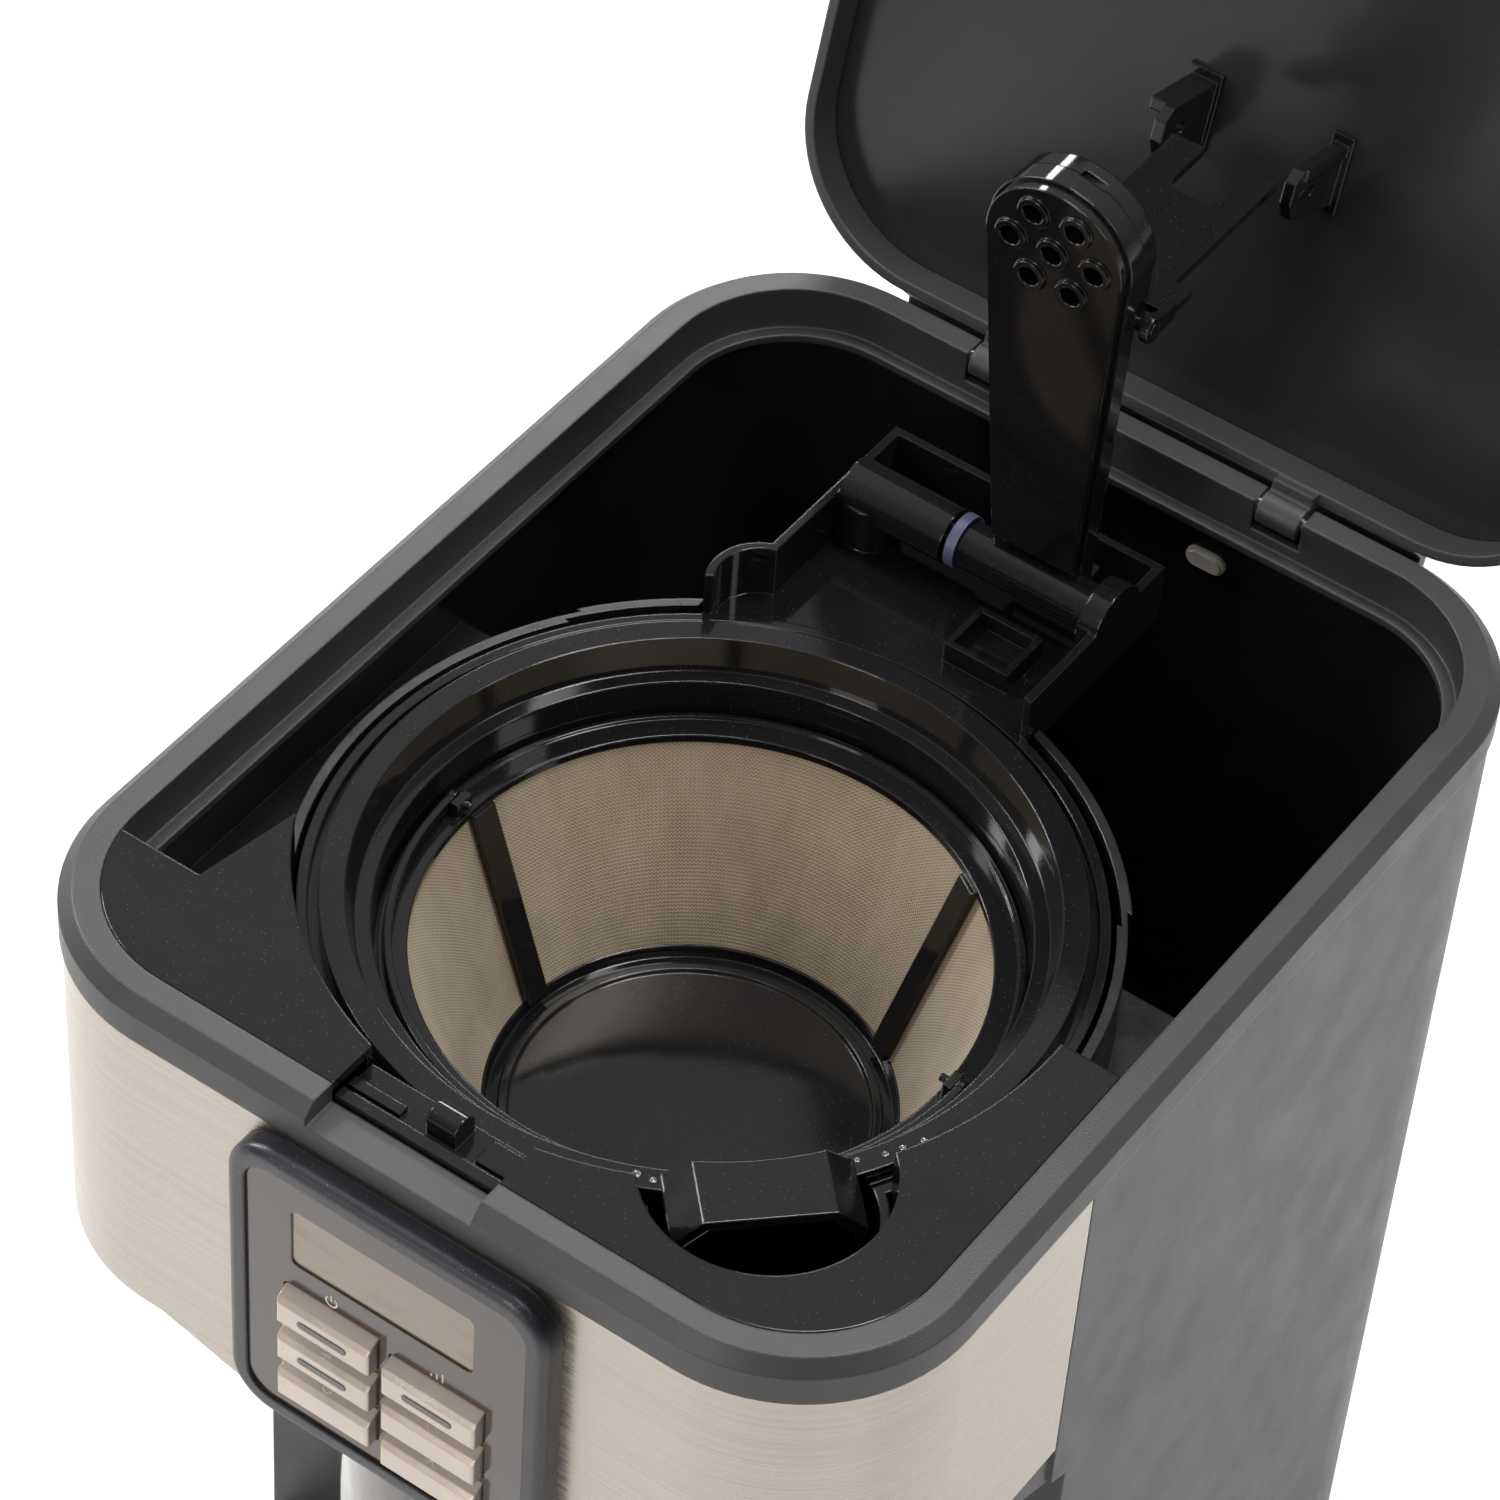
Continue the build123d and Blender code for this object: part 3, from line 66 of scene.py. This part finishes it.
class Finish:
    """A principled material with helpers for procedural detail in object space."""

    def __init__(self, name):
        self.material = bpy.data.materials.new(name)
        self.material.use_nodes = True
        self.tree = self.material.node_tree
        self.shader = self.tree.nodes["Principled BSDF"]
        self.coords = self.node("ShaderNodeTexCoord").outputs["Object"]

    def node(self, kind, inputs=(), **settings):
        made = self.tree.nodes.new(kind)
        for key, value in settings.items():
            setattr(made, key, value)
        for key, value in dict(inputs).items():
            if isinstance(value, bpy.types.NodeSocket):
                self.tree.links.new(value, made.inputs[key])
            else:
                made.inputs[key].default_value = value
        return made

    def set(self, **values):
        for key, value in values.items():
            self.shader.inputs[key.replace("_", " ")].default_value = value

    def link(self, output, name):
        self.tree.links.new(output, self.shader.inputs[name])

    def scaled(self, scale):
        return self.node("ShaderNodeMapping", {"Vector": self.coords, "Scale": scale}).outputs[0]

    def noise(self, scale, detail=3.0, stretch=(1, 1, 1), roughness=0.5):
        where = self.coords if tuple(stretch) == (1, 1, 1) else self.scaled(stretch)
        return self.node("ShaderNodeTexNoise", {"Vector": where, "Scale": scale, "Detail": detail,
                                                "Roughness": roughness}).outputs["Fac"]

    def ranged(self, value, low, high, start=0.3, stop=0.7):
        return self.node("ShaderNodeMapRange", {"Value": value, "From Min": start, "From Max": stop,
                                                "To Min": low, "To Max": high}).outputs["Result"]

    def ramp(self, value, *stops):
        made = self.node("ShaderNodeValToRGB", {"Fac": value})
        fill_ramp(made.color_ramp, stops)
        return made.outputs["Color"]

    def mix(self, factor, a, b):
        made = self.node("ShaderNodeMix", data_type="RGBA")
        for slot, value in (("Factor", factor), ("A", a), ("B", b)):
            socket = [s for s in made.inputs if s.name == slot and s.enabled][0]
            if isinstance(value, bpy.types.NodeSocket):
                self.tree.links.new(value, socket)
            else:
                socket.default_value = value if slot == "Factor" else (*value, 1)
        return [s for s in made.outputs if s.enabled][0]

    def math(self, operation, *values):
        made = self.node("ShaderNodeMath", operation=operation)
        for socket, value in zip(made.inputs, values):
            if isinstance(value, bpy.types.NodeSocket):
                self.tree.links.new(value, socket)
            else:
                socket.default_value = value
        return made.outputs[0]

    def edges(self, radius):
        """1 on sharp edges, 0 on open faces; also gives the rounded normal."""
        bevel = self.node("ShaderNodeBevel", {"Radius": radius}, samples=6).outputs["Normal"]
        flat = self.node("ShaderNodeNewGeometry").outputs["Normal"]
        dot = self.node("ShaderNodeVectorMath", {0: bevel, 1: flat}, operation="DOT_PRODUCT")
        return self.ranged(dot.outputs["Value"], 1.0, 0.0, 0.80, 0.995), bevel

    def bump(self, height, strength, distance, normal=None):
        inputs = {"Height": height, "Strength": strength, "Distance": distance}
        if normal is not None:
            inputs["Normal"] = normal
        return self.node("ShaderNodeBump", inputs).outputs["Normal"]


def plastic(name, colour, rough, grain=0.06, grain_scale=1400, vary=0.05, round_edge=0.0005,
            edge_light=1.6, coat=0.0, smudge=0.5, speck=0.0):
    """Moulded plastic: fine grain, handled patches, slightly polished edges painted paler as wear and as a
    painted highlight, dust specks.
    """
    f = Finish(name)
    edge, rounded = f.edges(round_edge)
    patches = f.noise(26, 4.0, roughness=0.6)
    handled = tuple(min(1, c * 1.35) for c in colour)
    worn_and_highlit_edge = tuple(min(1, c * edge_light) for c in colour)
    body = f.mix(f.ranged(patches, 0.0, smudge, 0.35, 0.75), colour, handled)
    # edges painted paler: partly wear, partly a painted highlight along each edge
    body = f.mix(f.math("MULTIPLY", edge, 0.6), body, worn_and_highlit_edge)
    if speck:
        dots = f.node("ShaderNodeTexVoronoi", {"Vector": f.coords, "Scale": 900.0}).outputs["Distance"]
        body = f.mix(f.ranged(dots, speck, 0.0, 0.04, 0.09), body, (0.55, 0.57, 0.62))
    f.link(body, "Base Color")
    rough_map = f.ranged(f.noise(60, 5.0, roughness=0.65), rough - vary, rough + vary)
    f.link(f.math("SUBTRACT", rough_map, f.math("MULTIPLY", edge, vary)), "Roughness")
    fine = f.noise(grain_scale, 2.0)
    f.link(f.bump(fine, grain, 0.0002, rounded), "Normal")
    f.set(Coat_Weight=coat, Coat_Roughness=0.04, IOR=1.5)
    return f.material


def brushed(name, colour, rough=0.27, stretch=(9, 9, 1900), aniso=0.55):
    """Steel of one tone, brushed level round the body; its bands of light come from the lamps, and its edges
    carry a painted highlight.
    """
    f = Finish(name)
    edge, rounded = f.edges(0.0006)
    streak = f.noise(1.0, 3.0, stretch, 0.7)
    long_streak = f.noise(1.0, 2.0, tuple(s * 0.22 for s in stretch), 0.6)
    both = f.math("ADD", f.math("MULTIPLY", streak, 0.65), f.math("MULTIPLY", long_streak, 0.35))
    body = f.mix(f.ranged(both, 0.0, 1.0, 0.35, 0.65), tuple(c * 0.80 for c in colour), colour)
    # painted highlight: edges mixed towards near-white
    body = f.mix(f.math("MULTIPLY", edge, 0.7), body, (0.92, 0.91, 0.89))
    f.link(body, "Base Color")
    f.link(f.ranged(both, rough - 0.07, rough + 0.09, 0.35, 0.65), "Roughness")
    f.link(f.bump(both, 0.10, 0.0001, rounded), "Normal")
    tangent = f.node("ShaderNodeTangent", direction_type="RADIAL", axis="Z")
    f.link(tangent.outputs[0], "Tangent")
    f.set(Metallic=1.0, Anisotropic=aniso)
    return f.material


def metal(name, colour, rough, scale=300, bump=0.05):
    f = Finish(name)
    edge, rounded = f.edges(0.0003)
    cloud = f.noise(scale, 4.0)
    # painted highlight: edges mixed towards pale grey
    f.link(f.mix(f.math("MULTIPLY", edge, 0.5), f.mix(f.ranged(cloud, 0, 1), tuple(c * 0.85 for c in colour),
           colour), (0.9, 0.9, 0.9)), "Base Color")
    f.link(f.ranged(cloud, rough * 0.7, rough * 1.3), "Roughness")
    f.link(f.bump(cloud, bump, 0.0002, rounded), "Normal")
    f.set(Metallic=1.0)
    return f.material


def rubber(name, colour, rough=0.55, clear=0.0):
    f = Finish(name)
    cloud = f.noise(220, 4.0)
    f.link(f.mix(f.ranged(cloud, 0, 1), tuple(c * 0.8 for c in colour), colour), "Base Color")
    f.link(f.ranged(cloud, rough - 0.08, rough + 0.08), "Roughness")
    f.link(f.bump(cloud, 0.12, 0.0003), "Normal")
    f.set(Subsurface_Weight=clear, Subsurface_Radius=(0.002, 0.002, 0.002))
    return f.material


THREADS_ROUND = 390.0
THREAD_PITCH = 0.00084


def woven(name):
    """Fine woven sieve on a cone about the brew axis: threads along and across, with damp stains and a
    painted shade darkening its lower part.
    """
    f = Finish(name)
    xyz = f.node("ShaderNodeSeparateXYZ", {0: f.coords})
    x, y, z = xyz.outputs
    angle = f.math("ARCTAN2", f.math("SUBTRACT", y, BREW.y), x)
    wander = f.math("MULTIPLY", f.noise(40, 2.0), 0.9)
    across = f.math("SINE", f.math("ADD", f.math("MULTIPLY", angle, THREADS_ROUND), wander))
    along = f.math("SINE", f.math("ADD", f.math("MULTIPLY", z, 2 * math.pi / THREAD_PITCH), wander))
    cell = f.math("MULTIPLY", across, along)
    threads = f.math("ADD", f.math("MULTIPLY", across, 0.5), f.math("MULTIPLY", along, 0.5))
    tone = f.math("ADD", f.math("MULTIPLY", cell, 0.5), 0.5)
    body = f.ramp(tone, (0.0, (0.20, 0.165, 0.115)), (0.5, (0.40, 0.335, 0.24)), (1.0, (0.66, 0.56, 0.42)))
    # bands where the cloth was pulled tight
    pull = f.noise(1.0, 3.0, (150, 150, 22), 0.6)
    body = f.mix(f.ranged(pull, 0.0, 0.35, 0.35, 0.7), body, (0.62, 0.53, 0.42))
    # damp stains everywhere, deepened into a painted shade band towards the bottom of the sieve
    damp = f.noise(26, 3.0, roughness=0.55)
    low = f.ranged(z, 1.0, 0.0, 0.265, 0.285)
    stain_and_shade = f.math("MULTIPLY", f.ranged(damp, 0.0, 0.45, 0.48, 0.62), f.ranged(low, 0.25, 1.0, 0, 1))
    body = f.mix(stain_and_shade, body, (0.22, 0.17, 0.115))
    f.link(body, "Base Color")
    f.link(f.ranged(tone, 0.50, 0.36, 0, 1), "Roughness")
    f.link(f.bump(threads, 0.35, 0.0001), "Normal")
    f.set(Metallic=0.35, Sheen_Weight=0.15, Sheen_Roughness=0.4)
    return f.material


def smoked_glass(name, colour, rough=0.015):
    f = Finish(name)
    streak = f.noise(1.0, 3.0, (30, 30, 7), 0.6)
    # painted reflections: amber upright streaks mixed into the glass's colour
    f.link(f.mix(f.ranged(streak, 0.0, 0.55, 0.5, 0.68), colour, (0.62, 0.44, 0.24)), "Base Color")
    f.link(f.ranged(f.noise(70, 3.0), rough, rough + 0.05), "Roughness")
    f.link(f.bump(f.noise(9, 1.0), 0.06, 0.002), "Normal")
    f.set(Transmission_Weight=0.94, IOR=1.5)
    return f.material


CELL_PITCH = 0.0011


def display(name):
    """Liquid crystal window: amber film with faint oily colour drifting along it."""
    f = Finish(name)
    drift = f.noise(1.0, 2.0, (55, 55, 160), 0.5)
    film = f.ramp(drift, (0.30, (0.11, 0.065, 0.025)), (0.45, (0.17, 0.11, 0.045)),
                  (0.55, (0.14, 0.125, 0.06)), (0.66, (0.19, 0.10, 0.05)), (0.8, (0.14, 0.08, 0.04)))
    cells = f.math("SINE", f.math("MULTIPLY", f.node("ShaderNodeSeparateXYZ", {0: f.coords}).outputs[0],
                                  2 * math.pi / CELL_PITCH))
    f.link(f.mix(f.ranged(cells, 0.0, 0.12, -1, 1), film, (0.22, 0.15, 0.08)), "Base Color")
    f.link(f.ranged(drift, 0.10, 0.24), "Roughness")
    f.set(Coat_Weight=1.0, Coat_Roughness=0.02, IOR=1.5)
    return f.material


def laminate(name):
    f = Finish(name)
    weave = f.noise(1.0, 1.0, (900, 900, 900))
    f.link(f.mix(f.ranged(weave, 0, 1), (0.02, 0.12, 0.05), (0.04, 0.2, 0.09)), "Base Color")
    f.link(f.ranged(f.noise(80), 0.3, 0.45), "Roughness")
    return f.material


SATIN = plastic("satin_black", (0.034, 0.035, 0.037), 0.44, grain=0.30, grain_scale=2300, vary=0.05,
                edge_light=2.2, round_edge=0.0009)
GLOSS = plastic("gloss_black", (0.0065, 0.0066, 0.0072), 0.085, grain=0.02, vary=0.035, edge_light=2.0,
                round_edge=0.0006, smudge=0.7, speck=0.25)
TANK = plastic("tank_black", (0.008, 0.008, 0.009), 0.30, grain=0.10, vary=0.08, edge_light=2.0)
LID_INNER = plastic("lid_inner_black", (0.022, 0.022, 0.026), 0.20, grain=0.03, vary=0.03, smudge=0.4)
BEZEL = plastic("bezel_blue_black", (0.012, 0.015, 0.022), 0.36, grain=0.30, grain_scale=2600, vary=0.05,
                coat=0.1, round_edge=0.0012, speck=0.75)
PANEL = plastic("panel_smoked_brown", (0.030, 0.020, 0.015), 0.16, grain=0.05, vary=0.04, coat=0.5,
                edge_light=1.4)
SILVER = plastic("button_silver", (0.50, 0.44, 0.385), 0.24, grain=0.12, grain_scale=2600, vary=0.06,
                 edge_light=1.7, round_edge=0.0006)
PART_METAL = 0.55       # metallised paint, less than bare metal
SILVER.node_tree.nodes["Principled BSDF"].inputs["Metallic"].default_value = PART_METAL
COATING = plastic("plate_coating", (0.02, 0.02, 0.021), 0.42, grain=0.5, grain_scale=900, vary=0.08)
STEEL_WRAP = brushed("brushed_stainless", (0.46, 0.42, 0.37))
STEEL = metal("bright_steel", (0.72, 0.72, 0.72), 0.2)
ALUMINIUM = metal("dull_aluminium", (0.75, 0.75, 0.74), 0.38, 500, 0.15)
SIEVE = woven("woven_sieve")
GLASS = smoked_glass("smoked_glass", (0.80, 0.78, 0.74))
DISPLAY = display("amber_display")
BOARD = laminate("green_laminate")
RUBBER = rubber("black_rubber", (0.03, 0.03, 0.03))
SILICONE = rubber("blue_silicone", (0.10, 0.11, 0.19), 0.35, 0.2)
CLEAR_SILICONE = rubber("milky_silicone", (0.62, 0.64, 0.66), 0.4, 0.4)
INK = plastic("label_ink", (0.82, 0.80, 0.76), 0.5, grain=0.1, vary=0.05, edge_light=1.0, smudge=0.2)
LENS = plastic("button_lens", (0.035, 0.022, 0.016), 0.14, grain=0.02, vary=0.03, coat=0.6)

BY_SLOT = {
    "black_satin_plastic": SATIN, "black_gloss_plastic": GLOSS, "stainless": STEEL_WRAP,
    "bezel_plastic": BEZEL, "panel_brown": PANEL, "display_glass": DISPLAY, "button_silver": SILVER,
    "filter_gold_mesh": SIEVE, "clear_glass": GLASS, "silicone": CLEAR_SILICONE, "rubber": RUBBER,
    "aluminium": ALUMINIUM, "plate_coating": COATING, "steel": STEEL, "circuit_board": BOARD,
    "tank_plastic": TANK, "lcd_grey": COATING,
}
BY_NODE = {"pivot_o_ring": SILICONE, "lid_panel": LID_INNER}
for part in frame["record"]["subparts"]:
    made = BY_NODE.get(part["node"], BY_SLOT[part["material_slot"]])
    data = NODES[part["node"]].data
    data.materials.clear()
    data.materials.append(made)


# ---- small pieces -----------------------------------------------------------------------------
def piece(name, bm, material, body):
    """Turn a bmesh in frame coordinates into an object that rides on a body."""
    mesh = bpy.data.meshes.new(name)
    bmesh.ops.recalc_face_normals(bm, faces=bm.faces)
    bm.to_mesh(mesh)
    bm.free()
    made = bpy.data.objects.new(name, mesh)
    scene.collection.objects.link(made)
    mesh.materials.append(material)
    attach(made, body)
    return made


def prism(bm, points, plane, thickness):
    """A flat polygon, given in a plane's own two axes, thickened along its normal."""
    origin, across, up = plane
    normal = across.cross(up)
    low = [bm.verts.new(origin + across * u + up * v) for u, v in points]
    high = [bm.verts.new(v.co + normal * thickness) for v in low]
    bm.faces.new(low)
    bm.faces.new(high[::-1])
    count = len(points)
    for i in range(count):
        bm.faces.new((low[i], high[i], high[(i + 1) % count], low[(i + 1) % count]))


def stroke(points, width):
    """Outline of a line of even width through the points."""
    left, right = [], []
    for i, p in enumerate(points):
        a = points[max(0, i - 1)]
        b = points[min(len(points) - 1, i + 1)]
        run = math.hypot(b[0] - a[0], b[1] - a[1])
        nx, ny = -(b[1] - a[1]) / run * width / 2, (b[0] - a[0]) / run * width / 2
        left.append((p[0] + nx, p[1] + ny))
        right.append((p[0] - nx, p[1] - ny))
    return left + right[::-1]


def arc(radius, start, stop, steps=24, centre=(0, 0)):
    return [(centre[0] + radius * math.cos(math.radians(start + (stop - start) * i / steps)),
             centre[1] + radius * math.sin(math.radians(start + (stop - start) * i / steps)))
            for i in range(steps + 1)]


def slot_shape(half, radius, steps):
    """A level slot: two half circles of one radius, their centres half either side of the middle."""
    return arc(radius, -90, 90, steps, (half, 0)) + arc(radius, 90, 270, steps, (-half, 0))


LINE = 0.00042          # width of a pictogram's line
R = 0.00135             # radius of its rings
ICONS = {
    # a broken ring with a bar
    "power": [arc(R, 125, 415), [(0, 0.0002), (0, 0.0019)]],
    # a bell
    "auto": [[(-0.0016, -0.0010), (0.0016, -0.0010)],
             [(-0.0012, -0.0010)] + arc(0.0011, 170, 10, 12, (0, 0.0002)) + [(0.0012, -0.0010)],
             [(-0.0003, -0.0016), (0.0003, -0.0016)]],
    # a clock face with its hands
    "hour": [arc(R, 0, 179), arc(R, 180, 359), [(0, 0.0010), (0, 0), (0.0008, 0)]],
    # three rising bars
    "strength": [[(-0.0014, -0.0012), (-0.0014, -0.0004)], [(0, -0.0012), (0, 0.0005)],
                 [(0.0014, -0.0012), (0.0014, 0.0014)]],
    # a drop falling into a cup
    "program": [[(-0.0012, 0.0001), (-0.0009, -0.0013), (0.0009, -0.0013), (0.0012, 0.0001)],
                [(0, 0.0016), (0, 0.0008)]],
    # an hourglass
    "minute": [[(-0.0010, 0.0014), (0.0010, 0.0014), (-0.0010, -0.0014), (0.0010, -0.0014),
                (-0.0010, 0.0014)]],
}
INK_DEPTH = 0.00007
LENS_HALF, LENS_RADIUS, LENS_DEPTH = 0.0052, 0.00092, 0.00012
plate_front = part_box("panel_plate")[0][1]
for key, lines in ICONS.items():
    node = key + "_button"
    low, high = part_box(node)
    middle = (low[0] + high[0]) / 2
    if key in ("power", "strength"):
        place = Vector((middle, plate_front - 0.00001, high[2] + 0.0027))
        plane = (place, Vector((1, 0, 0)), Vector((0, 0, 1)))
        body, scale = "machine", 1.0
    else:
        # on the sloping top of the key
        slope = Vector((0, 0.0030, 0.0016)).normalized()
        plane = (Vector((middle, low[1] + 0.0025, high[2] - 0.0008)), Vector((1, 0, 0)), slope)
        body, scale = node, 0.86
    bm = bmesh.new()
    for line in lines:
        prism(bm, [(u * scale, v * scale) for u, v in stroke(line, LINE)], plane, INK_DEPTH)
    piece("label_" + key, bm, INK, body)
    if key in ("power", "auto", "strength"):
        bm = bmesh.new()
        outline = slot_shape(LENS_HALF, LENS_RADIUS, 10)
        face = (Vector((middle, low[1] - 0.00002, (low[2] + high[2]) / 2 - 0.0010)), Vector((1, 0, 0)),
                Vector((0, 0, 1)))
        prism(bm, outline, face, LENS_DEPTH)
        piece("lens_" + key, bm, LENS, node)


# a pale slot-shaped piece fills the overflow hole of the tank's rear wall and makes the hole look pale
PALE_FILL = rubber("pale_fill", (0.74, 0.71, 0.64), 0.5, 0.2)
FILL_X, FILL_Z, FILL_INSET = 0.021, 0.315, 0.0016
FILL_HALF, FILL_RADIUS, FILL_STEP, FILL_DEPTH = 0.0023, 0.00255, 0.0007, 0.0014
tank_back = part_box("reservoir")[1][1]
bm = bmesh.new()
for step_in in (0.0, FILL_STEP):
    place = Vector((FILL_X, tank_back - FILL_INSET - step_in, FILL_Z))
    face = (place, Vector((1, 0, 0)), Vector((0, 0, 1)))
    prism(bm, slot_shape(FILL_HALF, FILL_RADIUS - step_in, 12), face, FILL_DEPTH)
piece("overflow_hole_fill", bm, PALE_FILL, "machine")


def drop(bm, centre, radius, normal):
    """A flattened bead of water sitting on a surface."""
    turn = Vector((0, 0, 1)).rotation_difference(normal).to_matrix()
    for vert in bmesh.ops.create_uvsphere(bm, u_segments=16, v_segments=10, radius=radius)["verts"]:
        flat = Vector((vert.co.x, vert.co.y, max(vert.co.z, -0.12 * radius) * 0.62))
        vert.co = centre + turn @ flat


WATER = smoked_glass("water", (0.97, 0.98, 1.0))
FLANGE_Z = 0.3294       # top of the basket's flange
bm = bmesh.new()
for step in range(15):
    bearing = math.radians(-64 + 3.1 * step + random.uniform(-1, 1))
    reach = random.uniform(0.0738, 0.0762)
    drop(bm, Vector((BREW.x + reach * math.cos(bearing), BREW.y + reach * math.sin(bearing), FLANGE_Z)),
         random.uniform(0.0005, 0.0011), Vector((0, 0, 1)))
piece("basket_drops", bm, WATER, "basket")


# ---- stage, light and camera ------------------------------------------------------------------
def floor():
    bm = bmesh.new()
    bmesh.ops.create_grid(bm, x_segments=2, y_segments=2, size=6)
    mesh = bpy.data.meshes.new("floor")
    bm.to_mesh(mesh)
    bm.free()
    made = bpy.data.objects.new("floor", mesh)
    scene.collection.objects.link(made)
    f = Finish("floor_white")
    f.link(f.mix(f.ranged(f.noise(3, 2.0), 0, 1), (0.88, 0.88, 0.88), (0.93, 0.93, 0.93)), "Base Color")
    f.set(Roughness=0.8)
    mesh.materials.append(f.material)


floor()


def studio():
    """Pale room: brighter above, dimmer and warmer low down, with soft dark drapes round it."""
    world = bpy.data.worlds.new("studio")
    world.use_nodes = True
    tree = world.node_tree
    nodes, links = tree.nodes, tree.links

    def add(kind, **values):
        made = nodes.new(kind)
        for key, value in values.items():
            setattr(made, key, value)
        return made

    way = add("ShaderNodeTexCoord")
    split = add("ShaderNodeSeparateXYZ")
    links.new(way.outputs["Generated"], split.inputs[0])
    rise = add("ShaderNodeMapRange")
    links.new(split.outputs[2], rise.inputs["Value"])
    rise.inputs["From Min"].default_value, rise.inputs["From Max"].default_value = -0.15, 0.95
    ramp = add("ShaderNodeValToRGB")
    links.new(rise.outputs[0], ramp.inputs[0])
    stops = ((0.0, (0.34, 0.31, 0.28)), (0.22, (0.42, 0.38, 0.34)), (0.45, (0.62, 0.60, 0.58)),
             (1.0, (0.80, 0.80, 0.82)))
    fill_ramp(ramp.color_ramp, stops)
    # drapes darken the room by azimuth alone
    angle = add("ShaderNodeMath", operation="ARCTAN2")
    links.new(split.outputs[0], angle.inputs[0])
    links.new(split.outputs[1], angle.inputs[1])
    drapes = add("ShaderNodeValToRGB")
    turn = add("ShaderNodeMapRange")
    links.new(angle.outputs[0], turn.inputs["Value"])
    turn.inputs["From Min"].default_value, turn.inputs["From Max"].default_value = -math.pi, math.pi
    links.new(turn.outputs[0], drapes.inputs[0])
    fill_ramp(drapes.color_ramp,
              [(place, (level, level * 0.97, level * 0.94)) for place, level in DRAPES])
    both = add("ShaderNodeMix", data_type="RGBA", blend_type="MULTIPLY")
    both.inputs[0].default_value = 1.0
    links.new(ramp.outputs[0], both.inputs[6])
    links.new(drapes.outputs[0], both.inputs[7])
    links.new(both.outputs[2], nodes["Background"].inputs["Color"])
    nodes["Background"].inputs["Strength"].default_value = ROOM_LEVEL
    scene.world = world


ROOM_LEVEL = 0.75
# azimuth as a fraction of a turn from -Y round by -X, +Y, +X; the level is how bright that part is
DRAPES = ((0.0, 0.9), (0.07, 0.55), (0.14, 1.0), (0.30, 1.0), (0.60, 1.0), (0.72, 0.35), (0.80, 0.22),
          (0.86, 0.40), (0.915, 0.12), (0.955, 0.95), (1.0, 0.9))
studio()
scene.view_settings.view_transform = "Standard"


def softbox(name, place, target, size, power, tint=(1, 1, 1)):
    light = bpy.data.lights.new(name, "AREA")
    light.shape = "RECTANGLE"
    light.size, light.size_y = size
    light.energy = power
    light.color = tint
    made = bpy.data.objects.new(name, light)
    scene.collection.objects.link(made)
    made.location = place
    made.rotation_euler = (Vector(target) - Vector(place)).to_track_quat("-Z", "Y").to_euler()


softbox("overhead", (0.1, 0.35, 1.8), (0, 0, 0.3), (1.0, 0.22), 17)
softbox("left", (-1.3, -0.15, 1.15), (0, 0, 0.3), (0.2, 1.0), 16)
softbox("back_left", (-0.78, 1.15, 1.2), (0, 0, 0.35), (0.7, 0.22), 9)
softbox("front", (-0.2, -1.6, 0.9), (0, 0, 0.25), (0.4, 0.9), 8, (1.0, 0.95, 0.89))
softbox("right", (1.2, 0.3, 1.4), (0, 0, 0.3), (0.3, 0.7), 7)

EYE = (0.41741, -0.70336, 1.17313)
FOCAL_LENGTH, SENSOR_WIDTH = 136.61, 36
AZIMUTH, ELEVATION, ROLL = (math.radians(a) for a in (32.4417, 46.2377, 4.366))
back = Vector((math.sin(AZIMUTH) * math.cos(ELEVATION), -math.cos(AZIMUTH) * math.cos(ELEVATION),
               math.sin(ELEVATION)))
right = Vector((math.cos(AZIMUTH), math.sin(AZIMUTH), 0))
up = back.cross(right)
camera_x = right * math.cos(ROLL) + up * math.sin(ROLL)
camera_y = up * math.cos(ROLL) - right * math.sin(ROLL)
lens = bpy.data.cameras.new("camera")
lens.sensor_width = SENSOR_WIDTH
lens.lens = FOCAL_LENGTH
camera = bpy.data.objects.new("camera", lens)
scene.collection.objects.link(camera)
turn = Matrix((camera_x, camera_y, back)).transposed()
camera.matrix_world = Matrix.Translation(EYE) @ turn.to_4x4()
scene.camera = camera
